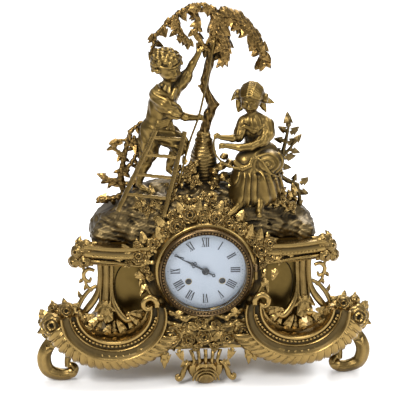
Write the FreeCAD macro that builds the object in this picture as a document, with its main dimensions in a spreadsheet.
import FreeCAD, Part
import math
import os
import re

import Sketcher

# A gilt figural mantel clock: cast case, eight-day spring movement with strike, and a figure group on top.
# Millimetres. +Z is up, +X is to the right of the dial, and the dial looks towards -Y.
# The origin is on the surface that the feet stand on, in the middle of the whole clock's box.

V = FreeCAD.Vector

SIZES = {
    # case body
    "body_half_width": 113, "body_bottom": 58, "body_top": 166, "body_front": 25, "body_back": 58,
    "wall": 4, "panel_thickness": 5, "dial_height": 138,
    # drum that holds the dial and the movement
    "drum_bore": 47, "drum_wall": 12, "drum_depth": 25,
    # plinth under the body, open below
    "plinth_half_width": 132, "plinth_bottom": 36, "plinth_front": 34, "plinth_wall": 6,
    # C-scroll aprons at the front of the plinth
    "scroll_x": 103, "scroll_z": 96, "scroll_inner": 35, "scroll_width": 12, "scroll_depth": 30,
    "gadroon_width": 18, "gadroon_depth": 22, "scroll_curl": 9, "centre_apron_half_width": 46,
    "centre_apron_height": 36, "centre_apron_bottom": 38,
    # feet
    "foot_x": 167, "foot_ring": 17, "foot_bar": 7.5, "foot_curl": 7, "foot_depth": 30, "rear_foot_x": 118,
    "rear_foot_radius": 9, "centre_foot_bulb": 14, "centre_foot_width": 24, "centre_foot_bar": 2.2,
    # flower clusters
    "rose": 14, "small_rose": 9, "garland_rose": 8.5,
    # pilasters and cornices at the corners of the body
    "pilaster_width": 16, "pilaster_depth": 18, "cornice_height": 20, "cornice_depth": 17, "cornice_inner": 66,
    "cornice_outer": 128, "side_loop": 19, "side_loop_bar": 2.6,
    # rocky mound
    "mound_height": 60, "mound_base_half_width": 116, "mound_top_half_width": 52, "mound_front": 38,
    "mound_wall": 4.5,
    # figure group
    "boy_height": 158, "girl_height": 128, "ladder_rail": 2.4, "ladder_length": 124, "ladder_rung": 1.9,
    "trunk": 7, "trunk_height": 150, "branch": 3.4, "canopy_reach": 62, "shrub_stem": 2.4, "shrub_height": 92,
    "fence_stem": 3.2, "fence_height": 88,
    # dial, hands, glass and bezel
    "dial_radius": 46.2, "dial_thickness": 1.6, "dial_recess": 3.2, "winding_hole": 3.8, "regulator_offset": 44.2,
    "hand_thickness": 0.5, "minute_hand_length": 34, "hour_hand_length": 23.5, "hand_boss": 3.9,
    "bezel_outer": 53.5, "bezel_inner": 44, "bezel_depth": 7.5, "glass_thickness": 1.2, "glass_rise": 3.5,
    "seat_ring_thickness": 1.6, "hinge_offset": 56.2, "hinge_pin": 1, "hinge_knuckle": 2.2, "hinge_length": 9,
    # movement
    "plate_radius": 43, "plate_thickness": 2, "pillar_length": 30, "pillar_radius": 2.2, "pillar_circle": 38.6,
    "motion_gap": 7, "winding_x": 19, "winding_drop": 13.1, "barrel_radius": 15.6, "barrel_length": 15,
    "arbor": 0.6, "centre_arbor": 1.2, "winding_arbor": 2, "winding_square": 2.9, "wheel_thickness": 1.2,
    "pinion_length": 2.6, "pivot_clearance": 0.05, "great_module": 0.5, "second_module": 0.45,
    "centre_module": 0.4, "third_module": 0.34, "motion_module": 0.5, "hour_module": 0.48, "pin_module": 0.34,
    "third_angle": 95, "pin_angle": 85,
    "fly_angle": 33, "hammer_reach": 39.4, "hammer_angle": 144.3, "escape_radius": 7, "anchor_gap": 8.5, "ratchet_radius": 6,
    # pendulum, bell and hammer
    "suspension_rise": 46.5, "pendulum_length": 120, "pendulum_y": 4, "bob_radius": 15, "bob_thickness": 7,
    "rod_radius": 0.9, "bell_radius": 25, "bell_depth": 18, "bell_wall": 1.4, "bell_offset": 9, "bell_y": 12, "crutch_length": 30.5,
    # back door and movement straps
    "door_radius": 49, "door_thickness": 1.2, "door_opening": 46.5, "strap_width": 9, "strap_thickness": 1.2,
    # fasteners
    "bolt_radius": 2, "nut_radius": 4.5, "nut_height": 3.2,
}

TEETH = {
    "barrel": 72, "second_pinion": 10, "second": 80, "centre_pinion": 10, "centre": 84, "third_pinion": 7,
    "third": 72, "escape_pinion": 6, "escape": 36, "cannon": 12, "minute": 36, "minute_pinion": 10, "hour": 40,
    "pin_pinion": 8, "pin": 60, "fly_pinion": 6,
}

# Tooth form as shares of module (height) and pitch (width): above pitch line, below it, width at tip, at root
WHEEL_TOOTH = (0.75, 1.05, 0.14, 0.39)
PINION_LEAF = (0.45, 1.15, 0.16, 0.34)

doc = FreeCAD.newDocument("mantel_clock")
sheet = doc.addObject("Spreadsheet::Sheet", "dims")
for row, (alias, number) in enumerate(SIZES.items(), start=1):
    sheet.set(f"A{row}", alias)
    sheet.set(f"B{row}", str(number))
    sheet.setAlias(f"B{row}", alias)
doc.recompute()


class Sizes:
    """The sheet's cells as numbers, for the shapes that Part's own functions make."""

    def __getattr__(self, alias):
        return float(sheet.get(alias))


size = Sizes()
nodes = {}

# Where things stand along Y, as formulas on the sheet. The front of the clock is at negative Y.
DRUM_FRONT = "-body_front - drum_depth"
DIAL_FRONT = "-body_front - drum_depth + dial_recess"
PLATE_FRONT = "-body_front - drum_depth + dial_recess + dial_thickness + motion_gap"
BACK_PLATE_FRONT = PLATE_FRONT + " + plate_thickness + pillar_length"
BACK_PLATE_BACK = PLATE_FRONT + " + 2 * plate_thickness + pillar_length"
MOUND_TOP = "body_top + mound_height"

# The same places as numbers
drum_front = -size.body_front - size.drum_depth
dial_front = drum_front + size.dial_recess
dial_back = dial_front + size.dial_thickness
plate_front = dial_back + size.motion_gap
plate_back = plate_front + size.plate_thickness
back_plate_front = plate_back + size.pillar_length
back_plate_back = back_plate_front + size.plate_thickness
mound_top = size.body_top + size.mound_height

TURNS = {
    "X": FreeCAD.Rotation(V(0, 1, 0), 90),
    "Y": FreeCAD.Rotation(V(1, 0, 0), -90),
    "-Y": FreeCAD.Rotation(V(1, 0, 0), 90),
    "Z": FreeCAD.Rotation(),
}


# Document helpers

def formula(text):
    """A size formula with each alias named through the sheet."""
    return re.sub(r"[a-z_][a-z_0-9]*", lambda m: "dims." + m.group() if m.group() in SIZES else m.group(), text)


def place(thing, at=("0", "0", "0"), axis="Z"):
    """Puts a feature at a point given as formulas, with its own Z along axis."""
    thing.Placement = FreeCAD.Placement(V(), TURNS[axis])
    for letter, text in zip("xyz", at):
        thing.setExpression(f"Placement.Base.{letter}", formula(text))
    return thing


def primitive(kind, name, at, axis, **sizes):
    thing = doc.addObject(f"Part::{kind}", name)
    for prop, text in sizes.items():
        thing.setExpression(prop, formula(text))
    return place(thing, at, axis)


def cylinder(name, radius, height, at=("0", "0", "0"), axis="Z", angle="360"):
    return primitive("Cylinder", name, at, axis, Radius=radius, Height=height, Angle=angle)


def box(name, length, width, height, at=("0", "0", "0")):
    return primitive("Box", name, at, "Z", Length=length, Width=width, Height=height)


def sphere(name, radius, at):
    return primitive("Sphere", name, at, "Z", Radius=radius)


def fuse(name, *things):
    thing = doc.addObject("Part::MultiFuse", name)
    thing.Shapes = list(things)
    return thing


def cut(name, base, tool):
    thing = doc.addObject("Part::Cut", name)
    thing.Base, thing.Tool = base, tool
    return thing


def group(name, *things):
    thing = doc.addObject("Part::Compound", name)
    thing.Links = list(things)
    return thing


def solid(name, shape):
    thing = doc.addObject("Part::Feature", name)
    thing.Shape = shape
    return thing


def node(name, thing):
    """Marks a feature as one piece of the clock."""
    thing.Label = name
    nodes[name] = thing
    return thing


def body_with_sketch(name, plane, at, axis):
    body = doc.addObject("PartDesign::Body", name)
    sketch = body.newObject("Sketcher::SketchObject", name + "_sketch")
    face = next(f for f in body.Origin.OriginFeatures if f.Role == plane)
    sketch.AttachmentSupport = [(face, "")]
    sketch.MapMode = "FlatFace"
    place(body, at, axis)
    return body, sketch


def evaluate(text):
    """A size formula as a number, worked out by the sheet itself in a spare cell."""
    sheet.set("D1", "=" + re.sub(r"([a-z_][a-z_0-9]*)", r"\1", text))
    sheet.recompute()
    return float(sheet.get("D1"))


def add_outline(sketch, corners):
    """A closed outline through corners given as pairs of formulas, each held by its own two distances."""
    start = sketch.GeometryCount
    points = [V(evaluate(across), evaluate(up), 0) for across, up in corners]
    count = len(points)
    for i in range(count):
        sketch.addGeometry(Part.LineSegment(points[i], points[(i + 1) % count]), False)
    for i, (across, up) in enumerate(corners):
        sketch.addConstraint(Sketcher.Constraint("Coincident", start + i, 2, start + (i + 1) % count, 1))
        for kind, text, now in (("DistanceX", across, points[i].x), ("DistanceY", up, points[i].y)):
            held = sketch.addConstraint(Sketcher.Constraint(kind, -1, 1, start + i, 1, now))
            sketch.setExpression(f"Constraints[{held}]", formula(text))


def add_circle(sketch, radius, across="0", up="0"):
    """A circle with its centre and radius given as formulas."""
    centre = V(evaluate(across), evaluate(up), 0)
    index = sketch.addGeometry(Part.Circle(centre, V(0, 0, 1), evaluate(radius)), False)
    held = sketch.addConstraint(Sketcher.Constraint("Radius", index, evaluate(radius)))
    sketch.setExpression(f"Constraints[{held}]", formula(radius))
    for kind, text, now in (("DistanceX", across, centre.x), ("DistanceY", up, centre.y)):
        held = sketch.addConstraint(Sketcher.Constraint(kind, -1, 1, index, 3, now))
        sketch.setExpression(f"Constraints[{held}]", formula(text))


def turned(name, profile, at, axis="-Y"):
    """A body of revolution: profile holds (radius, height) formulas, with height measured along axis from at."""
    body, sketch = body_with_sketch(name, "XZ_Plane", at, axis)
    add_outline(sketch, profile)
    doc.recompute()
    spin = body.newObject("PartDesign::Revolution", name + "_turn")
    spin.Profile = sketch
    spin.ReferenceAxis = (sketch, ["V_Axis"])
    spin.Angle = 360
    doc.recompute()
    return body


def padded(name, draw, thickness, at):
    """A flat piece in the XZ plane, padded towards -Y from at by thickness. draw adds its outlines to the sketch."""
    body, sketch = body_with_sketch(name, "XZ_Plane", at, "Z")
    draw(sketch)
    doc.recompute()
    pad = body.newObject("PartDesign::Pad", name + "_pad")
    pad.Profile = sketch
    pad.setExpression("Length", formula(thickness))
    doc.recompute()
    return body


# Shapes for castings and wheels, as numbers

def limb(start, end, thick, thin):
    """A rounded tapering bar between two points."""
    start, end = V(*start), V(*end)
    along = end - start
    shape = Part.makeSphere(thick, start).fuse(Part.makeSphere(thin, end))
    if abs(thick - thin) < 1e-3:
        return shape.fuse(Part.makeCylinder(0.97 * thick, along.Length, start, along))
    return shape.fuse(Part.makeCone(0.97 * thick, 0.97 * thin, along.Length, start, along))


def fused(shapes):
    whole = shapes[0].multiFuse(shapes[1:]) if len(shapes) > 1 else shapes[0]
    return whole.removeSplitter()


def seated(shapes, *under):
    """Castings joined into one, with what they stand on or against taken away, and only the main piece kept."""
    whole = fused(shapes)
    for thing in under:
        whole = whole.cut(thing if isinstance(thing, Part.Shape) else thing.Shape)
    return max(whole.Solids, key=lambda part: part.Volume)


def toothed(teeth, module, form, thickness, hole, spokes=0):
    """A toothed disc about Z with its underside at zero, pierced between its spokes."""
    above, below, tip, root = form
    pitch_radius = teeth * module / 2
    low, high = pitch_radius - below * module, pitch_radius + above * module
    pitch = 2 * math.pi / teeth
    corners = []
    for tooth in range(teeth):
        for radius, share in ((low, -root / 2), (high, -tip / 2), (high, tip / 2), (low, root / 2)):
            angle = (tooth + share) * pitch
            corners.append(V(radius * math.cos(angle), radius * math.sin(angle), 0))
    disc = Part.Face(Part.makePolygon(corners + corners[:1])).extrude(V(0, 0, thickness))
    if hole:
        disc = disc.cut(Part.makeCylinder(hole, thickness))
    if spokes:
        rim, hub, half_arm = low - 1.6, 3.2, 0.9
        window = Part.makeCylinder(rim, thickness).cut(Part.makeCylinder(hub, thickness))
        arms = [
            Part.makeBox(rim, 2 * half_arm, thickness, V(0, -half_arm, 0)).rotated(V(), V(0, 0, 1), 360 * n / spokes)
            for n in range(spokes)
        ]
        disc = disc.cut(window.cut(fused(arms)))
    return disc


def on_arbor(shape, centre, y, turn=0):
    """Stands a shape made about Z on an arbor that runs along Y, its underside at y, turned about the arbor."""
    stood = shape.rotated(V(), V(0, 0, 1), turn).rotated(V(), V(1, 0, 0), -90)
    return stood.translated(V(centre[0], y, centre[1]))


def rod(radius, centre, y_start, y_end):
    return Part.makeCylinder(radius, y_end - y_start, V(centre[0], y_start, centre[1]), V(0, 1, 0))


def where(centre, other):
    """The direction from one arbor to another, in degrees, as a wheel stood on the arbor sees it."""
    return math.degrees(math.atan2(-(other[1] - centre[1]), other[0] - centre[0]))


# Arbor places on the movement, worked out from the wheels' sizes, as (across, up from the dial's centre)

def meeting(start, reach, other, other_reach, side):
    """The point at one distance from each of two centres, on the side that is asked for."""
    across, up = other[0] - start[0], other[1] - start[1]
    apart = math.hypot(across, up)
    along = (reach**2 - other_reach**2 + apart**2) / (2 * apart)
    off = side * math.sqrt(reach**2 - along**2)
    return (
        start[0] + (along * across - off * up) / apart,
        start[1] + (along * up + off * across) / apart,
    )


def spacing(wheel, pinion, module):
    return (TEETH[wheel] + TEETH[pinion]) * module / 2


def polar(start, distance, degrees):
    return (
        start[0] + distance * math.cos(math.radians(degrees)),
        start[1] + distance * math.sin(math.radians(degrees)),
    )


middle = (0.0, 0.0)
going_barrel = (size.winding_x, -size.winding_drop)
strike_barrel = (-size.winding_x, -size.winding_drop)
barrel_to_second = spacing("barrel", "second_pinion", size.great_module)
second_to_centre = spacing("second", "centre_pinion", size.second_module)
going_second = meeting(going_barrel, barrel_to_second, middle, second_to_centre, -1)
strike_second = (-going_second[0], going_second[1])
third = polar(middle, spacing("centre", "third_pinion", size.centre_module), size.third_angle)
third_to_escape = spacing("third", "escape_pinion", size.third_module)
escape = (0.0, third[1] + math.sqrt(third_to_escape**2 - third[0] ** 2))
anchor = (0.0, escape[1] + size.anchor_gap)
pin_wheel = polar(strike_second, spacing("second", "pin_pinion", size.second_module), size.pin_angle)
fly = polar(pin_wheel, spacing("pin", "fly_pinion", size.pin_module), size.fly_angle)
minute_wheel = polar(middle, spacing("minute", "cannon", size.motion_module), -90)
hammer = polar(middle, size.hammer_reach, size.hammer_angle)

ARBORS = {
    "going_second": (going_second, "arbor"), "strike_second": (strike_second, "arbor"), "third": (third, "arbor"),
    "escape": (escape, "arbor"), "anchor": (anchor, "arbor"), "pin": (pin_wheel, "arbor"),
    "fly": (fly, "arbor"), "hammer": (hammer, "arbor"), "middle": (middle, "centre_arbor"),
    "going_barrel": (going_barrel, "winding_arbor"), "strike_barrel": (strike_barrel, "winding_arbor"),
}
row = len(SIZES) + 3
for name, (spot, _) in ARBORS.items():
    for letter, number in zip(("across", "up"), spot):
        sheet.set(f"A{row}", f"{name}_{letter}")
        sheet.set(f"B{row}", repr(number))
        sheet.setAlias(f"B{row}", f"{name}_{letter}")
        SIZES[f"{name}_{letter}"] = number
        row += 1
doc.recompute()

SIDES = (("left", -1), ("right", 1))
halves = {}


def half(name, thing):
    """Keeps one of a left and right pair until both are made."""
    halves[name] = thing
    return thing


def pair(name):
    """One node for a left and right pair of the same piece, as two separate solids."""
    return node(name + "s", group(name + "s", halves["left_" + name], halves["right_" + name]))


def mirrored(sign, text):
    """A formula for a place on the left or the right of the middle."""
    return f"{'-' if sign < 0 else ''}({text})"


def along_x(sign, near, length):
    """Where a box starts so that it runs outwards from near, on the left or the right."""
    return near if sign > 0 else f"-({near}) - ({length})"


# Case body: a front panel, two sides and a rear plate, on a plinth that is open below

def arched_panel(name, opening, thickness, y):
    """A flat panel with a round head and a round opening at the dial's height."""
    flat = box(name + "_flat", "2 * body_half_width", thickness, "body_top - body_bottom",
               ("-body_half_width", y, "body_bottom"))
    head = cylinder(name + "_head", "drum_bore + drum_wall", thickness, ("0", y, "dial_height"), "Y")
    hole = cylinder(name + "_hole", opening, thickness, ("0", y, "dial_height"), "Y")
    return node(name, cut(name, fuse(name + "_blank", flat, head), hole))


front_panel = arched_panel("front_panel", "drum_bore", "panel_thickness", "-body_front")
rear_plate = arched_panel("rear_plate", "door_opening", "wall", "body_back - wall")
SIDE_LENGTH = "body_front - panel_thickness + body_back - wall"
for side, sign in SIDES:
    half(f"{side}_side_panel", box(
        f"{side}_side_panel", "wall", SIDE_LENGTH, "body_top - body_bottom",
        (along_x(sign, "body_half_width - wall", "wall"), "-body_front + panel_thickness", "body_bottom")))
pair("side_panel")

drum_ring = node("drum_ring", turned("drum_ring", [
    ("drum_bore", "0"), ("drum_bore + drum_wall", "0"), ("drum_bore + drum_wall", "drum_depth - 4"),
    ("drum_bore + drum_wall - 3.5", "drum_depth"), ("drum_bore", "drum_depth"),
], ("0", "-body_front", "dial_height")))

PLINTH_TOP = "body_bottom"
plinth_block = box("plinth_block", "2 * plinth_half_width", "plinth_front + body_back",
                   "body_bottom - plinth_bottom", ("-plinth_half_width", "-plinth_front", "plinth_bottom"))
plinth_hollow = box("plinth_hollow", "2 * (plinth_half_width - plinth_wall)",
                    "plinth_front + body_back - 2 * plinth_wall", "body_bottom - plinth_bottom - wall",
                    ("-plinth_half_width + plinth_wall", "-plinth_front + plinth_wall", "plinth_bottom"))
plinth_well = box("plinth_well", "2 * (body_half_width - wall)", SIDE_LENGTH, "body_bottom - plinth_bottom",
                  ("-body_half_width + wall", "-body_front + panel_thickness", "plinth_bottom"))
plinth = node("plinth", cut("plinth", plinth_block, fuse("plinth_room", plinth_hollow, plinth_well)))


# Aprons: a C-scroll with a gadroon band under it on each side, and a plain boss between them

def arc_band(name, inner, width, depth, sign, start, sweep):
    """Part of a ring about the C-scroll's centre. Angles run from the inner end, down and outwards."""
    at = (mirrored(sign, "scroll_x"), f"-plinth_front - ({depth})", "scroll_z")
    first = start if sign < 0 else 180 - start - sweep
    pieces = []
    for part, radius in (("outside", f"{inner} + {width}"), ("inside", inner)):
        piece = cylinder(f"{name}_{part}", radius, depth, at, "Y", str(sweep))
        piece.Placement = FreeCAD.Placement(
            piece.Placement.Base, TURNS["Y"].multiply(FreeCAD.Rotation(V(0, 0, 1), first)))
        pieces.append(piece)
    return cut(name, *pieces)


aprons = {}
for side, sign in SIDES:
    scroll = arc_band(f"{side}_scroll", "scroll_inner", "scroll_width", "scroll_depth", sign, 5, 150)
    gadroons = arc_band(f"{side}_gadroons", "scroll_inner + scroll_width", "gadroon_width", "gadroon_depth",
                        sign, 36, 114)
    curl = cylinder(f"{side}_curl", "scroll_curl", "scroll_depth",
                    (mirrored(sign, "scroll_x - scroll_inner - scroll_width / 2"),
                     "-plinth_front - scroll_depth", "scroll_z"), "Y")
    aprons[side] = half(f"{side}_apron", fuse(f"{side}_apron", scroll, gadroons, curl))
pair("apron")

centre_block = cylinder("centre_block", "centre_apron_half_width", "gadroon_depth",
                        ("0", "-plinth_front - gadroon_depth", "centre_apron_bottom + centre_apron_height"), "Y")
centre_limits = box("centre_limits", "2 * centre_apron_half_width", "gadroon_depth", "centre_apron_height",
                    ("-centre_apron_half_width", "-plinth_front - gadroon_depth", "centre_apron_bottom"))
centre_shape = doc.addObject("Part::Common", "centre_shape")
centre_shape.Base, centre_shape.Tool = centre_block, centre_limits
both_aprons = fuse("both_aprons", aprons["left"], aprons["right"])
drum_space = cylinder("drum_space", "drum_bore + drum_wall + 0.2", "3 * drum_depth",
                      ("0", "-body_front - 3 * drum_depth", "dial_height"), "Y")
centre_apron = node("centre_apron", cut("centre_apron", centre_shape,
                                        fuse("centre_neighbours", both_aprons, drum_space)))


# Feet: an open scroll under each front corner, a pierced basket in the middle, and two turned feet behind

for side, sign in SIDES:
    ring = primitive("Torus", f"{side}_foot_ring",
                     (mirrored(sign, "foot_x"), "-foot_depth", "foot_ring + foot_bar"), "Y",
                     Radius1="foot_ring", Radius2="foot_bar")
    curl = sphere(f"{side}_foot_curl", "foot_curl", (mirrored(sign, "foot_x - foot_curl"), "-foot_depth", "foot_curl"))
    half(f"{side}_scroll_foot", fuse(f"{side}_foot", ring, curl))
node("front_feet", group("front_feet", halves["left_scroll_foot"], halves["right_scroll_foot"]))

rear_feet = [
    turned(f"{side}_rear_foot", [
        ("0", "0"), ("0.6 * rear_foot_radius", "0"), ("rear_foot_radius", "5"),
        ("0.7 * rear_foot_radius", "plinth_bottom - 6"), ("rear_foot_radius", "plinth_bottom"),
        ("0", "plinth_bottom")],
        (mirrored(sign, "rear_foot_x"), "body_back - rear_foot_radius", "0"), "Z")
    for side, sign in SIDES
]
node("rear_feet", group("rear_feet", *rear_feet))

BASKET_Y = "-plinth_front - gadroon_depth + centre_foot_bulb / 2"
bulb = sphere("basket_bulb", "centre_foot_bulb", ("0", BASKET_Y, "centre_foot_bulb"))
rim = box("basket_rim", "2 * centre_foot_width", "centre_foot_bulb", "4",
          ("-centre_foot_width", BASKET_Y + " - centre_foot_bulb / 2", "centre_apron_bottom - 4"))
bars = [
    cylinder(f"basket_bar_{n}", "centre_foot_bar", "centre_apron_bottom - centre_foot_bulb - 2",
             (f"{n} * centre_foot_bulb * 0.3", BASKET_Y, "centre_foot_bulb"))
    for n in (-2, -1, 0, 1, 2)
]
node("centre_foot", fuse("centre_foot", bulb, rim, *bars))


# Flower clusters, pilasters, cornices and side loops at the corners

def cluster(name, spots):
    """Rounded flower heads that run into each other, as (across, y, up, radius) formulas."""
    heads = [sphere(f"{name}_{n}", radius, (across, y, up)) for n, (across, y, up, radius) in enumerate(spots)]
    return fuse(name, *heads) if len(heads) > 1 else heads[0]


doc.recompute()
foot_top = 2 * (size.foot_ring + size.foot_bar)
for side, sign in SIDES:
    heads = [
        Part.makeSphere(radius, V(sign * (size.foot_x + across), -size.foot_depth + y, foot_top + up))
        for across, y, up, radius in (
            (-size.rose, 0, size.rose + 3, size.rose + 6), (4, -12, size.rose + 10, size.rose),
            (12, -4, 3, size.small_rose), (-14, -8, 3 * size.rose, size.small_rose), (-3, -12, 1, size.small_rose))
    ]
    reach = size.foot_x - size.plinth_half_width
    bridge = Part.makeBox(reach, size.foot_depth, size.body_bottom - size.plinth_bottom, V(
        size.plinth_half_width if sign > 0 else -size.foot_x, -size.foot_depth, size.body_bottom - 12))
    apron_space = Part.makeCylinder(
        size.scroll_inner + size.scroll_width + size.gadroon_width + 0.05, 2 * size.scroll_depth + size.foot_depth,
        V(sign * size.scroll_x, -size.plinth_front - size.scroll_depth - 5, size.scroll_z), V(0, 1, 0))
    half(f"{side}_end_casting", solid(f"{side}_end_casting", seated(
        heads + [bridge], halves[f"{side}_scroll_foot"], apron_space)))
pair("end_casting")

for side, sign in SIDES:
    def draw_pilaster(sketch, sign=sign):
        edge = [
            ("body_half_width - 10", "body_bottom + 6"), ("body_half_width + 14", "body_bottom + 8"),
            ("body_half_width + 13", "body_bottom + 26"), ("body_half_width + 2", "body_bottom + 48"),
            ("body_half_width + 1", "body_top - cornice_height - 14"),
            ("body_half_width + 12", "body_top - cornice_height"),
            ("body_half_width + 12 - pilaster_width - 6", "body_top - cornice_height"),
            ("body_half_width + 1 - pilaster_width", "body_top - cornice_height - 16"),
            ("body_half_width - pilaster_width", "body_bottom + 46"),
            ("body_half_width - 26", "body_bottom + 16"), ("body_half_width - 24", "body_bottom + 7"),
        ]
        add_outline(sketch, [(mirrored(sign, across), up) for across, up in edge])

    blank = padded(f"{side}_pilaster_blank", draw_pilaster, "pilaster_depth", ("0", "-body_front", "0"))
    half(f"{side}_pilaster", cut(f"{side}_pilaster", blank, aprons[side]))
    length = "cornice_outer - cornice_inner"
    shelf = box(f"{side}_cornice_shelf", length, "cornice_depth", "cornice_height",
                (along_x(sign, "cornice_inner", length), "-body_front - cornice_depth",
                 "body_top - cornice_height"))
    bead = cylinder(f"{side}_cornice_bead", "cornice_height / 4", length,
                    (along_x(sign, "cornice_inner", length), "-body_front - cornice_depth",
                     "body_top - 0.28 * cornice_height"), "X")
    half(f"{side}_cornice", fuse(f"{side}_cornice", shelf, bead))
    corner = cluster(f"{side}_corner_flowers", [
        (mirrored(sign, "cornice_outer + small_rose"), "-body_front - 8",
         "body_top - cornice_height / 2", "small_rose"),
        (mirrored(sign, "cornice_outer + 1.6 * small_rose"), "-body_front - 6",
         "body_top - cornice_height", "0.8 * small_rose"),
        (mirrored(sign, "cornice_outer + 0.7 * small_rose"), "-body_front - 2",
         "body_top + 4", "0.8 * small_rose"),
    ])
    half(f"{side}_corner_flower", cut(f"{side}_corner_trim", corner, fuse(
        f"{side}_corner_neighbours", halves[f"{side}_cornice"], halves[f"{side}_pilaster"])))
    loop = primitive("Torus", f"{side}_side_loop",
                     (mirrored(sign, "body_half_width + 14"), "-body_front - pilaster_depth / 2",
                      "body_bottom + 48"), "Y", Radius1="side_loop", Radius2="side_loop_bar")
    half(f"{side}_side_loop", cut(f"{side}_loop_trim", loop, fuse(
        f"{side}_loop_neighbours", halves[f"{side}_pilaster"], front_panel, halves[f"{side}_side_panel"],
        halves[f"{side}_end_casting"])))
for name in ("pilaster", "cornice", "corner_flower", "side_loop"):
    pair(name)


# Mound: a hollow rocky casting over the body, arched over the drum

def frustum(name, low, inset):
    """A block that narrows upwards, inset from the mound's outside by a formula."""
    thing = doc.addObject("Part::Wedge", name)
    values = {
        "Xmin": f"-mound_base_half_width + {inset}", "Xmax": f"mound_base_half_width - {inset}",
        "X2min": f"-mound_top_half_width + {inset}", "X2max": f"mound_top_half_width - {inset}",
        "Zmin": f"-body_back + {inset}", "Zmax": f"mound_front - {inset}",
        "Z2min": f"-body_back + 14 + {inset}", "Z2max": f"mound_front - 16 - {inset}",
        "Ymin": "0", "Ymax": f"mound_height - {inset}",
    }
    for prop, text in values.items():
        thing.setExpression(prop, formula(text))
    return place(thing, ("0", "0", low), "-Y")


arch_space = cylinder("arch_space", "drum_bore + drum_wall", "mound_front + body_back",
                      ("0", "-mound_front", "dial_height"), "Y")
mound = node("mound", cut("mound", frustum("mound_outside", "body_top", "0"),
                          fuse("mound_room", frustum("mound_inside", "body_top", "mound_wall"), arch_space)))


# Figure group on the mound. Points are (across, y, up from the mound's top), with a thickness at each.

def chain(points):
    """A bent bar through (across, y, up, thickness) points."""
    return [limb(a[:3], b[:3], a[3], b[3]) for a, b in zip(points, points[1:])]


def raised(points, scale=1.0, foot=(0, 0)):
    """Points scaled about a foot on the mound and lifted to the mound's top."""
    return [
        (foot[0] + (x - foot[0]) * scale, foot[1] + (y - foot[1]) * scale, mound_top + z * scale, r * scale)
        for x, y, z, r in points
    ]


STUDS = (-34, 2, 40)
STUD_Y = 8
doc.recompute()

stump = node("stump", solid("stump", seated(
    chain(raised([(2, 8, -4, 13), (2, 8, 30, 13.5), (1, 8, 52, 9.5)]))
    + [limb((16, -6, mound_top + 6), (20, 2, mound_top + 18), 9, 8)],
    mound)))
trunk_thick = size.trunk
trunk_rise = size.trunk_height / 150
trunk = node("tree_trunk", solid("tree_trunk", seated(
    chain([(x, 8, mound_top + 52 + z * trunk_rise, r * trunk_thick) for x, z, r in (
        (1, 0, 0.95), (7, 26, 0.8), (9, 40, 0.9), (3, 64, 0.62), (7, 90, 0.6), (13, 125, 0.55), (11, 146, 0.45))]),
    stump)))
canopy_foot = mound_top - 243 + size.trunk_height
reach = size.canopy_reach / 62
twig = size.branch
canopy_right = solid("canopy_right", seated(
    chain([(13 + (x - 13) * reach, y, canopy_foot + z, r * twig) for x, y, z, r in (
        (14, 8, 280, 2.2), (26, 6, 292, 2), (40, 4, 287, 1.7), (50, 3, 274, 1.8), (61, 2, 262, 1.5),
        (66, 0, 246, 1.3), (70, -2, 228, 1.2))])
    + chain([(x, y, canopy_foot + z, r * twig) for x, y, z, r in (
        (14, 4, 280, 2.2), (19, 0, 258, 2.4), (20, -2, 240, 1.8))]),
    trunk))
canopy_left = solid("canopy_left", seated(
    chain([(10 + (x - 10) * reach, y, canopy_foot + z, r * twig) for x, y, z, r in (
        (9, 8, 297, 1.1), (-8, 8, 297, 1.2), (-23, 8, 291, 1.9), (-38, 9, 278, 1.5), (-52, 10, 265, 1.2),
        (-57, 12, 243, 1))])
    + chain([(x, y, canopy_foot + z, r * twig) for x, y, z, r in (
        (-14, 8, 293, 1.5), (-8, 6, 276, 1.4), (-4, 4, 262, 0.9))]),
    trunk, canopy_right))
node("canopy", group("canopy", canopy_left, canopy_right))

boy_scale = size.boy_height / 158
ladder_scale = size.ladder_length / 124
rail = size.ladder_rail
LEFT_RAIL = ((-97, -37, -18), (-30, -14, 116))
RIGHT_RAIL = ((-46, -37, -26), (-8, -14, 116))


def on_rail(ends, share):
    """A point a share of the way up a rail of the ladder, as the rail's length sets it."""
    return tuple(low + (high - low) * share * ladder_scale for low, high in zip(*ends))


def lifted(point):
    return (point[0], point[1], mound_top + point[2])


rungs = [
    limb(lifted(on_rail(LEFT_RAIL, share)), lifted(on_rail(RIGHT_RAIL, share)), size.ladder_rung, size.ladder_rung)
    for share in (0.14, 0.3, 0.46, 0.62)
]
ladder = node("ladder", solid("ladder", seated(
    [limb(lifted(ends[0]), lifted(on_rail(ends, 1)), rail, rail) for ends in (LEFT_RAIL, RIGHT_RAIL)] + rungs,
    mound)))

BOY = (
    [(-54, 0, 64, 12.5), (-47, 0, 78, 12), (-42, 0, 98, 14.5), (-38, -2, 116, 7), (-39, -5, 139, 18)],
    [(-50, -2, 64, 10), (-26, -8, 46, 8.5), (-38, -6, 22, 4.6), (-31, -10, 17, 3.8)],
    [(-58, 2, 62, 10), (-60, 2, 32, 8), (-72, -2, 4, 4.8), (-67, -8, -2, 4)],
    [(-29, 2, 108, 7.5), (-16, 2, 125, 6), (-4, 0, 152, 4.2)],
    [(-49, -8, 107, 8), (-27, -18, 87, 6), (-4, -7, 78, 4.4)],
)
boy = node("boy_figure", solid("boy_figure", seated(
    [piece for part in BOY for piece in chain(raised(part, boy_scale, (-54, 0)))],
    ladder, mound, trunk, stump, canopy_right, canopy_left)))

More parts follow.
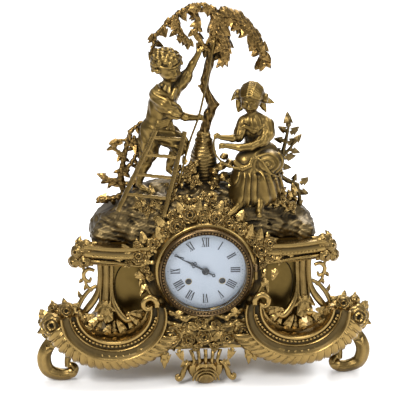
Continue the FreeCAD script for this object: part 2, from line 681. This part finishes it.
girl_scale = size.girl_height / 128
rock_seat = node("rock_seat", solid("rock_seat", seated(
    [limb((48, 12, mound_top + 2), (66, 12, mound_top + 6), 15, 17)], mound, stump)))
GIRL = (
    [(62, 2, 34, 17), (60, -2, 49, 12), (57, -3, 67, 13), (54, -5, 83, 6.5), (53, -7, 102, 17.5)],
    [(60, -8, 32, 20), (55, -20, 2, 22)],
    [(62, 4, 32, 15), (72, -14, 28, 15.5)],
    [(40, -32, 2, 4.6), (33, -37, -18, 4), (28, -44, -21, 3)],
    [(60, -32, 0, 4.6), (61, -37, -22, 4), (60, -45, -26, 3)],
    [(46, -8, 73, 6.5), (37, -18, 58, 5), (17, -20, 57, 4.2)],
    [(67, -8, 70, 6.5), (52, -26, 52, 5.2), (20, -22, 52, 4.4)],
)
girl = node("girl_figure", solid("girl_figure", seated(
    [piece for part in GIRL for piece in chain(raised(part, girl_scale, (60, 8)))],
    mound, rock_seat, stump)))

shrub = size.shrub_stem
shrub_scale = size.shrub_height / 92
node("left_vine", solid("left_vine", seated(
    chain(raised([(-78, 14, -34, 1.5 * shrub), (-92, 14, 4, 1.4 * shrub), (-84, 14, 46, 1.3 * shrub),
                  (-70, 14, 66, 1.6 * shrub)], shrub_scale, (-78, 14)))
    + chain(raised([(-84, 14, -22, 1.4 * shrub), (-108, 10, -12, 1.6 * shrub), (-112, 8, -20, shrub)],
                   shrub_scale, (-78, 14)))
    + chain(raised([(-92, 14, 4, 1.4 * shrub), (-112, 12, 10, shrub)], shrub_scale, (-78, 14)))
    + chain(raised([(-92, 14, 4, 1.4 * shrub), (-82, 14, 22, 1.8 * shrub)], shrub_scale, (-78, 14))),
    mound, ladder, boy)))
fence = size.fence_stem
fence_scale = size.fence_height / 88
node("right_fence", solid("right_fence", seated(
    chain(raised([(84, 12, -36, fence), (88, 12, 10, fence), (94, 12, 38, 0.9 * fence), (98, 10, 64, 0.7 * fence)],
                 fence_scale, (84, 12)))
    + chain(raised([(86, 12, 2, 0.8 * fence), (108, 10, -8, fence), (112, 8, -26, 0.7 * fence)],
                   fence_scale, (84, 12)))
    + chain(raised([(88, 12, 10, fence), (92, 14, 22, 2.2 * fence), (94, 12, 38, 0.9 * fence)],
                   fence_scale, (84, 12))),
    mound, girl, rock_seat)))

studs = [
    Part.makeCylinder(size.bolt_radius, size.mound_wall + size.nut_height + 2,
                      V(x, STUD_Y, mound_top - size.mound_wall - size.nut_height - 2))
    for x in STUDS
]
nuts = [
    Part.makeCylinder(size.nut_radius, size.nut_height, V(x, STUD_Y, mound_top - size.mound_wall - size.nut_height))
    .cut(Part.makeCylinder(size.bolt_radius, 60, V(x, STUD_Y, mound_top - 60)))
    for x in STUDS
]
bored = doc.addObject("Part::Cut", "mound_bored")
bored.Base, bored.Tool = mound, solid("stud_holes", Part.makeCompound([
    Part.makeCylinder(size.bolt_radius + 0.1, 3 * size.mound_wall, V(x, STUD_Y, mound_top - 2 * size.mound_wall))
    for x in STUDS
]))
nodes.pop("mound").Label = "mound_casting"
mound = node("mound", bored)
node("figure_fixings", solid("figure_fixings", Part.makeCompound(studs + nuts)))


# Garlands of flower heads round the drum

def garland(name, start, end, count, radius, y, head):
    """Flower heads strung along a stem that follows the drum, from one angle to another."""
    heads = []
    for n in range(count):
        across, up = polar((0, size.dial_height), radius, start + (end - start) * n / (count - 1))
        heads.append(Part.makeSphere(head, V(across, y, up)))
    stem = Part.makeTorus(radius, head / 2, V(), V(0, 0, 1), 0, 360, end - start)
    stem.rotate(V(), V(0, 0, 1), start)
    stem.rotate(V(), V(1, 0, 0), 90)
    stem.translate(V(0, y, size.dial_height))
    return fused(heads + [stem])


head = size.garland_rose
garland_radius = size.drum_bore + size.drum_wall + 0.88 * head
doc.recompute()
top_swag = seated([garland("top_swag", 38, 142, 8, garland_radius, -size.mound_front - head * 0.6, head)],
                  mound, drum_ring, front_panel, girl, ladder)
swags = [top_swag] + [
    seated([garland(f"{side}_swag", start, start + 34, 4, garland_radius, -size.body_front - head, head)],
           drum_ring, front_panel, halves[f"{side}_cornice"], halves[f"{side}_pilaster"], mound, top_swag)
    for side, start in (("left", 152), ("right", -6))
]
node("garlands", solid("garlands", Part.makeCompound(swags)))


# Dial, seat ring, bezel and glass

def draw_dial(sketch):
    add_circle(sketch, "dial_radius")
    add_circle(sketch, "centre_arbor + 2.9")
    add_circle(sketch, "winding_hole", "winding_x", "-winding_drop")
    add_circle(sketch, "winding_hole", "-winding_x", "-winding_drop")
    add_circle(sketch, "arbor + 0.2", "0", "regulator_offset")


dial = node("dial", padded("dial", draw_dial, "dial_thickness",
                           ("0", DIAL_FRONT + " + dial_thickness", "dial_height")))
seat_ring_blank = turned("seat_ring_blank", [
    ("dial_radius - 1", "0"), ("bezel_outer", "0"), ("bezel_outer", "seat_ring_thickness"),
    ("dial_radius - 1", "seat_ring_thickness")], ("0", DRUM_FRONT, "dial_height"))
BEZEL_BACK = DRUM_FRONT + " - seat_ring_thickness - 0.2"
REBATE = "bezel_inner + 1.8"
bezel_blank = turned("bezel_blank", [
    (REBATE, "0"), ("bezel_outer", "0"), ("bezel_outer", "bezel_depth - 3.5"),
    ("bezel_outer - 2", "bezel_depth - 2.5"), ("bezel_outer - 3.2", "bezel_depth - 3.6"),
    ("bezel_inner + 3", "bezel_depth - 3.6"), ("bezel_inner + 1.6", "bezel_depth"),
    ("bezel_inner", "bezel_depth - 0.6"), ("bezel_inner", "3"), (REBATE, "3"),
], ("0", BEZEL_BACK, "dial_height"))
GLASS_RIM = "bezel_inner + 1.6"
dome = [(f"{n} / 6 * (bezel_inner - 0.6)", f"3 + glass_rise * (1 - {n * n} / 36)") for n in range(7)]
inner_dome = [(f"{n} / 6 * (bezel_inner - 1.6)", f"3 - glass_thickness + glass_rise * (1 - {n * n} / 36)")
              for n in range(6, -1, -1)]
node("glass", turned("glass", [*dome, (GLASS_RIM, "3"), (GLASS_RIM, "3 - glass_thickness"), *inner_dome],
                     ("0", BEZEL_BACK, "dial_height")))

HINGE_Y = BEZEL_BACK + " - 2"


def leaf(name, low, y, radius, near, tab_y, tab_thickness):
    """A knuckle round a hinge pin, with the tab that joins it to its ring."""
    knuckle = cylinder(f"{name}_knuckle", "hinge_knuckle", "hinge_length", (radius, y, low))
    tab = box(f"{name}_tab", f"{radius} - ({near})", tab_thickness, "hinge_length", (near, tab_y, low))
    return knuckle, tab


def pin_bore(name, radius, y, low, clearance="0"):
    return cylinder(f"{name}_bore", f"hinge_pin + {clearance}", "hinge_length", (radius, y, low))


LOWER_KNUCKLE = "dial_height - hinge_length - 0.2"
tongue = box("seat_tongue", "hinge_offset - bezel_outer + 1", "seat_ring_thickness", "hinge_length",
             ("bezel_outer - 1", DRUM_FRONT + " - seat_ring_thickness", LOWER_KNUCKLE))
seat_leaf = leaf("seat", LOWER_KNUCKLE, HINGE_Y, "hinge_offset", "bezel_outer + 0.3", HINGE_Y,
                 "2.2 + seat_ring_thickness / 2")
seat_whole = fuse("seat_whole", seat_ring_blank, tongue, *seat_leaf)
seat_limits = fuse("seat_limits", drum_ring, pin_bore("seat", "hinge_offset", HINGE_Y, LOWER_KNUCKLE))
node("seat_ring", cut("seat_ring", seat_whole, seat_limits))
bezel_leaf = leaf("bezel", "dial_height", HINGE_Y, "hinge_offset", "bezel_outer - 2", HINGE_Y + " - 0.4", "1.6")
node("bezel", cut("bezel", fuse("bezel_whole", bezel_blank, *bezel_leaf),
                  pin_bore("bezel", "hinge_offset", HINGE_Y, "dial_height", "pivot_clearance")))
node("bezel_hinge_pin", cylinder("bezel_hinge_pin", "hinge_pin", "2 * hinge_length + 0.2", (
    "hinge_offset", HINGE_Y, LOWER_KNUCKLE)))


# Rear ring and door, and the straps that join the front of the movement to the rear ring

ring_blank = turned("rear_ring_blank", [
    ("door_opening - 3", "0"), ("door_radius + 2", "0"), ("door_radius + 2", "1.2"),
    ("door_opening - 3", "1.2")], ("0", "body_back", "dial_height"), "Y")
DOOR_Y = "body_back + 1.4"
DOOR_HINGE = ("door_radius + 3", DOOR_Y + " + 2.05")
rear_knuckle = cylinder("rear_knuckle", "hinge_knuckle", "hinge_length", (*DOOR_HINGE, LOWER_KNUCKLE))
rear_pin = cylinder("rear_pin", "hinge_pin", "2 * hinge_length + 0.2", (*DOOR_HINGE, LOWER_KNUCKLE))
rear_tab = box("rear_tab", "2.7", "2.45", "hinge_length", ("door_radius + 0.3", "body_back + 1", LOWER_KNUCKLE))
node("rear_ring", fuse("rear_ring", ring_blank, rear_knuckle, rear_pin, rear_tab))
door_disc = turned("door_disc", [
    ("0", "0"), ("door_radius", "0"), ("door_radius", "door_thickness"), ("door_radius - 6", "door_thickness"),
    ("door_radius - 10", "door_thickness + 1.6"), ("0", "door_thickness + 1.6")], ("0", DOOR_Y, "dial_height"), "Y")
door_knob = cylinder("door_knob", "2.4", "4.6", ("-door_radius + 7", DOOR_Y, "dial_height"), "Y")
door_knuckle = cylinder("door_knuckle", "hinge_knuckle", "hinge_length", (*DOOR_HINGE, "dial_height"))
door_tab = box("door_tab", "6", "door_thickness", "hinge_length", ("door_radius - 3", DOOR_Y, "dial_height"))
door_bore = cylinder("door_bore", "hinge_pin + pivot_clearance", "hinge_length", (*DOOR_HINGE, "dial_height"))
rear_door = node("rear_door", cut(
    "rear_door", fuse("door_body", door_disc, door_knob, door_knuckle, door_tab), door_bore))
straps = [
    box(f"{side}_strap", "strap_thickness", "body_front + drum_depth + body_back - dial_recess - dial_thickness",
        "strap_width", (along_x(sign, "plate_radius", "strap_thickness"), DIAL_FRONT + " + dial_thickness",
                        "dial_height - strap_width / 2"))
    for side, sign in SIDES
]
node("movement_straps", group("movement_straps", *straps))


# Movement: plates, pillars and arbors. Wheels stand between the plates, at distances behind the front plate.

def behind(distance):
    return plate_back + distance


def raise_to_dial(centre):
    return (centre[0], size.dial_height + centre[1])


def draw_plate(sketch):
    add_circle(sketch, "plate_radius")
    for name, (_, bore) in ARBORS.items():
        add_circle(sketch, f"{bore} + pivot_clearance", f"{name}_across", f"{name}_up")


plate_blank = padded("front_plate_blank", draw_plate, "plate_thickness",
                     ("0", PLATE_FRONT + " + plate_thickness", "dial_height"))
node("back_plate", padded("back_plate", draw_plate, "plate_thickness", ("0", BACK_PLATE_BACK, "dial_height")))


def post(name, radius, degrees, at_radius, y, length):
    across, up = math.cos(math.radians(degrees)), math.sin(math.radians(degrees))
    return cylinder(name, radius, length, (f"{at_radius} * {across:.6f}", y,
                                           f"dial_height + {at_radius} * {up:.6f}"), "Y")


pillars = [
    post(f"pillar_{n}", "pillar_radius", degrees, "pillar_circle", PLATE_FRONT + " + plate_thickness",
         "pillar_length")
    for n, degrees in enumerate((-110, -70, -3, 55, 183))
]
dial_feet = [
    post(f"dial_foot_{n}", "1.2", degrees, "pillar_circle", PLATE_FRONT + " - motion_gap", "motion_gap")
    for n, degrees in enumerate((25, 155, 270))
]
minute_post = cylinder("minute_post", "arbor", "motion_gap - 1", (
    "0", PLATE_FRONT + " - motion_gap + 1", f"dial_height - {-minute_wheel[1]:g}"), "Y")
node("front_plate", fuse("front_plate", plate_blank, *pillars, *dial_feet, minute_post))

arbor_start, arbor_end = plate_front + 0.3, back_plate_back - 0.3


def wheel_on(centre, teeth, module, form, start, thick, meets, gap=False, hole=0.0, spokes=0):
    """A toothed wheel on an arbor, with a tooth, or a gap for a pinion, turned towards the arbor it meets."""
    count = TEETH[teeth]
    turn = where(centre, meets) + (180 / count if gap else 0)
    return on_arbor(toothed(count, module, form, thick, hole, spokes), raise_to_dial(centre), start, turn)


def pinion_on(centre, teeth, module, start, thick, meets, hole=0.0):
    return wheel_on(centre, teeth, module, PINION_LEAF, start, thick, meets, gap=True, hole=hole)


def arbor_of(name, start=None, end=None):
    centre, bore = ARBORS[name]
    return rod(getattr(size, bore), raise_to_dial(centre), start if start is not None else arbor_start,
               end if end is not None else arbor_end)


def assembled(name, *shapes):
    """Wheels and arbors that turn as one, joined into one solid."""
    whole = fused([piece for shape in shapes for piece in (shape.Solids or [shape])])
    return node(name, solid(name, max(whole.Solids, key=lambda part: part.Volume)))


WHEEL = size.wheel_thickness
PINION = size.pinion_length
for side, barrel, second in (("going", going_barrel, going_second), ("strike", strike_barrel, strike_second)):
    spot = raise_to_dial(barrel)
    drum_start = behind(4.5)
    drum_end = drum_start + size.barrel_length + 0.5
    bore = size.winding_arbor + size.pivot_clearance
    shell = rod(size.barrel_radius, spot, drum_start, drum_end).cut(
        rod(size.barrel_radius - 1.2, spot, drum_start + 0.5, drum_end - 0.8)).cut(
        rod(bore, spot, drum_start, drum_end))
    great = wheel_on(barrel, "barrel", size.great_module, WHEEL_TOOTH, behind(2), 2.5, second, hole=bore)
    assembled(f"{side}_barrel", shell, great)

    coil, steps, inner, outer = [], 40, size.winding_arbor + 1.2, size.barrel_radius - 1.6
    turns = int((outer - inner) / 1.7)
    count = turns * steps
    for n in range(count + 1):
        radius = inner + (outer - inner) * n / count
        coil.append((radius, 2 * math.pi * n / steps))
    edge = [V((r + 0.25) * math.cos(a), (r + 0.25) * math.sin(a), 0) for r, a in coil]
    edge += [V((r - 0.25) * math.cos(a), (r - 0.25) * math.sin(a), 0) for r, a in reversed(coil)]
    strip = Part.Face(Part.makePolygon(edge + edge[:1])).extrude(V(0, 0, drum_end - drum_start - 2))
    node(f"{side}_mainspring", solid(f"{side}_mainspring", on_arbor(strip, spot, drum_start + 0.8)))

    front = dial_front + 0.6
    square_end = plate_front - 3
    half_square = size.winding_square / 2
    square = Part.makeBox(size.winding_square, square_end - front, size.winding_square,
                          V(spot[0] - half_square, front, spot[1] - half_square))
    ratchet = on_arbor(toothed(24, size.ratchet_radius / 12.6, (0.6, 1.2, 0.1, 0.5), 1.5, 0),
                       spot, plate_front - 2.9)
    assembled(f"{side}_winding_arbor", square, ratchet,
              rod(size.winding_arbor, spot, square_end, arbor_end))

pinion_start = behind(1.2)
assembled("going_second_wheel",
          pinion_on(going_second, "second_pinion", size.great_module, pinion_start, 4.3, going_barrel),
          wheel_on(going_second, "second", size.second_module, WHEEL_TOOTH, behind(24.6), 1.5, middle, spokes=5),
          arbor_of("going_second"))
assembled("strike_second_wheel",
          pinion_on(strike_second, "second_pinion", size.great_module, pinion_start, 4.3, strike_barrel),
          wheel_on(strike_second, "second", size.second_module, WHEEL_TOOTH, behind(27.4), 1.5, pin_wheel, spokes=5),
          arbor_of("strike_second"))
cannon_start = plate_front - 2.2
hand = size.hand_thickness
minute_y = dial_front - 3.4
hour_y = dial_front - 1.5
assembled("centre_arbor",
          pinion_on(middle, "centre_pinion", size.second_module, behind(24), 2.8, going_second),
          wheel_on(middle, "centre", size.centre_module, WHEEL_TOOTH, behind(21), 1, third, spokes=5),
          pinion_on(middle, "cannon", size.motion_module, cannon_start, 2, minute_wheel),
          rod(1.7, raise_to_dial(middle), minute_y - 1, cannon_start),
          arbor_of("middle", start=cannon_start))
assembled("minute_wheel",
          wheel_on(minute_wheel, "minute", size.motion_module, WHEEL_TOOTH, plate_front - 1.8, WHEEL, middle,
                   hole=size.arbor + size.pivot_clearance),
          pinion_on(minute_wheel, "minute_pinion", size.hour_module, plate_front - 4.8, 3, middle,
                    hole=size.arbor + size.pivot_clearance))
hour_bore = 1.75
hour_pipe = rod(2.4, raise_to_dial(middle), hour_y, plate_front - 3.2).cut(
    rod(hour_bore, raise_to_dial(middle), hour_y, plate_front - 3.2))
assembled("hour_wheel",
          wheel_on(middle, "hour", size.hour_module, WHEEL_TOOTH, plate_front - 4.4, WHEEL, minute_wheel,
                   hole=hour_bore),
          hour_pipe)
assembled("third_wheel",
          pinion_on(third, "third_pinion", size.centre_module, behind(20.3), 2.4, middle),
          wheel_on(third, "third", size.third_module, WHEEL_TOOTH, behind(10), WHEEL, escape, spokes=5),
          arbor_of("third"))
escape_tooth = (0.5, 1.7, 0.12, 0.5)
assembled("escape_wheel",
          pinion_on(escape, "escape_pinion", size.third_module, behind(9.4), 2.4, third),
          wheel_on(escape, "escape", size.escape_radius / 18.5, escape_tooth, behind(14), 1, anchor, spokes=4),
          arbor_of("escape"))
pins = [
    rod(0.4, polar(raise_to_dial(pin_wheel), 8.5, 45 * n), behind(12) + WHEEL, behind(12) + WHEEL + 1.8)
    for n in range(8)
]
assembled("pin_wheel",
          pinion_on(pin_wheel, "pin_pinion", size.second_module, behind(27.1), 2.3, strike_second),
          wheel_on(pin_wheel, "pin", size.pin_module, WHEEL_TOOTH, behind(12), WHEEL, fly),
          arbor_of("pin"), *pins)
fly_spot = raise_to_dial(fly)
assembled("fly",
          pinion_on(fly, "fly_pinion", size.pin_module, behind(11.4), 2.4, pin_wheel),
          Part.makeBox(13, 6, 0.5, V(fly_spot[0] - 6.5, behind(3), fly_spot[1] - 0.25)),
          arbor_of("fly"))


# Anchor with its crutch, pendulum on its cock, and the regulating arbor at the top of the dial

anchor_spot = raise_to_dial(anchor)
arm_y = behind(14.5)
pallets = []
for _, sign in SIDES:
    elbow = (sign * 6.2, arm_y, anchor_spot[1] + 0.5)
    pallets += [limb((0, arm_y, anchor_spot[1]), elbow, 0.75, 0.6),
                limb(elbow, (sign * 6.28, arm_y, raise_to_dial(escape)[1] + 5.27), 0.6, 0.5)]
crutch_back = back_plate_back + 2.4
fork = anchor_spot[1] - size.crutch_length
gap = size.rod_radius + 0.1
crutch = [
    Part.makeBox(1.4, 1.4, size.crutch_length, V(-0.7, crutch_back - 1.4, fork)),
    Part.makeBox(2 * gap + 1.6, 1.4, 2, V(-gap - 0.8, crutch_back - 1.4, fork - 1)),
] + [
    Part.makeBox(0.8, size.pendulum_y + 1.4 - crutch_back + 1.4, 2,
                 V(-gap - 0.8 if sign < 0 else gap, crutch_back - 1.4, fork - 1))
    for _, sign in SIDES
]
assembled("anchor", *pallets, *crutch, arbor_of("anchor", end=crutch_back))

pivot_up = size.dial_height + size.suspension_rise
bob_up = pivot_up - size.pendulum_length
bob = rod(size.bob_radius, (0, bob_up), size.pendulum_y - size.bob_thickness / 2,
          size.pendulum_y + size.bob_thickness / 2)
assembled("pendulum",
          Part.makeBox(0.4, 3, 10, V(-0.2, size.pendulum_y - 1.5, pivot_up - 10)),
          Part.makeCylinder(size.rod_radius, pivot_up - 9 - bob_up + size.bob_radius + 6,
                            V(0, size.pendulum_y, bob_up - size.bob_radius - 6)),
          Part.makeCylinder(2.4, 2.2, V(0, size.pendulum_y, bob_up - size.bob_radius - 3)), bob)

cock_foot = box("cock_foot", "8", "2", "16", ("6", BACK_PLATE_BACK, "dial_height + 24"))
cock_arm = box("cock_arm", "3", f"pendulum_y - ({BACK_PLATE_BACK}) + 2", "suspension_rise - 30",
               ("6", BACK_PLATE_BACK, "dial_height + 34"))
cock_bar = box("cock_bar", "12", "4", "4", ("-3", "pendulum_y - 2", "dial_height + suspension_rise + 0.1"))
cock_head = box("cock_head", "3", "4", "14", ("6", "pendulum_y - 2", "dial_height + suspension_rise - 10"))
cock_bearing = box("cock_bearing", "12", "1.6", "6", ("-3", "pendulum_y - 4.8", "dial_height + regulator_offset - 3"))
regulator_bore = cylinder("regulator_bore", "arbor + pivot_clearance", "1.6",
                          ("0", "pendulum_y - 4.8", "dial_height + regulator_offset"), "Y")
node("suspension_cock", cut("suspension_cock", fuse(
    "cock_blank", cock_foot, cock_arm, cock_bar, cock_head, cock_bearing), regulator_bore))
node("regulating_arbor", cylinder("regulating_arbor", "arbor", f"pendulum_y - 3 - ({DIAL_FRONT}) + 1",
                                  ("0", DIAL_FRONT + " - 1", "dial_height + regulator_offset"), "Y"))


# Bell on its stud, and the hammer that strikes its rim

BELL_X = "bell_offset"
BELL_UP = "dial_height - 2"
bell_curve = [(0, 1), (0.45, 0.93), (0.75, 0.72), (0.92, 0.42), (1, 0)]
bell_cup = turned("bell_cup", [
    *[(f"bell_radius * {share} + 0.001" if share else "0", f"bell_depth * {rise}") for share, rise in bell_curve],
    *[(f"(bell_radius - bell_wall) * {share}", f"(bell_depth - bell_wall) * {rise}")
      for share, rise in reversed(bell_curve)],
], (BELL_X, "bell_y", BELL_UP), "Y")
stud = cylinder("bell_stud", "1.5", f"bell_y + bell_depth + 2 - ({BACK_PLATE_BACK})",
                (BELL_X, BACK_PLATE_BACK, BELL_UP), "Y")
nut = cylinder("bell_nut", "3", "1.6", (BELL_X, "bell_y + bell_depth - 0.4", BELL_UP), "Y")
node("bell", fuse("bell", bell_cup, stud, nut))

hammer_spot = raise_to_dial(hammer)
head_y = size.bell_y + 3
rim_x = size.bell_offset - size.bell_radius
head_up = size.dial_height - 2
tail = polar(hammer_spot, 5.8, math.degrees(math.atan2(pin_wheel[1] - hammer[1], pin_wheel[0] - hammer[0])))
assembled("hammer",
          arbor_of("hammer", end=head_y + 1.5),
          limb((hammer_spot[0], behind(14.4), hammer_spot[1]), (tail[0], behind(14.4), tail[1]), 1, 0.5),
          limb((hammer_spot[0], head_y, hammer_spot[1]), (rim_x - 6, head_y, head_up), 1.2, 1),
          limb((rim_x - 8, head_y, head_up), (rim_x - 3.6, head_y, head_up), 3, 3))


# Hands, both lying towards the tenth hour

def hand_corner(along, side):
    """A corner of a hand, from distances along it and to its side."""
    return (f"-0.8660254 * ({along}) - 0.5 * ({side})", f"0.5 * ({along}) - 0.8660254 * ({side})")


def make_hand(name, reach, y, bore, outline):
    corners = [hand_corner(f"{reach} * {along}", side) for along, side in outline]
    blade = padded(f"{name}_blade", lambda sketch: add_outline(sketch, corners), "hand_thickness",
                   ("0", f"{y} + hand_thickness", "dial_height"))
    boss = cylinder(f"{name}_boss", "hand_boss", "hand_thickness", ("0", y, "dial_height"), "Y")
    hole = cylinder(f"{name}_hole", bore, "hand_thickness", ("0", y, "dial_height"), "Y")
    node(name, cut(name, fuse(f"{name}_blank", blade, boss), hole))


make_hand("hour_hand", "hour_hand_length", DIAL_FRONT + " - 1.5", "2.4", [
    ("0", "-1"), ("0.6", "-0.8"), ("0.7", "-2.6"), ("0.78", "-3"), ("0.84", "-1.6"), ("0.9", "-0.6"), ("1", "0"),
    ("0.9", "0.6"), ("0.84", "1.6"), ("0.78", "3"), ("0.7", "2.6"), ("0.6", "0.8"), ("0", "1")])
make_hand("minute_hand", "minute_hand_length", DIAL_FRONT + " - 3.4", "1.7", [
    ("0", "-0.9"), ("0.6", "-0.7"), ("0.68", "-1.5"), ("0.76", "-0.6"), ("1", "0"), ("0.76", "0.6"),
    ("0.68", "1.5"), ("0.6", "0.7"), ("0", "0.9")])


# Every piece sound, then each one written to its own file

sheet.clear("D1")
doc.recompute()
for thing in doc.Objects:
    if "Invalid" in thing.State or "Error" in thing.State:
        raise RuntimeError(f"{thing.Label} did not recompute")
for name, thing in nodes.items():
    if thing.Shape.isNull() or not thing.Shape.isValid() or not thing.Shape.Solids:
        raise RuntimeError(f"{name} has no sound solid")

os.makedirs("parts", exist_ok=True)
for name, thing in nodes.items():
    thing.Shape.exportStep(f"parts/{name}.step")
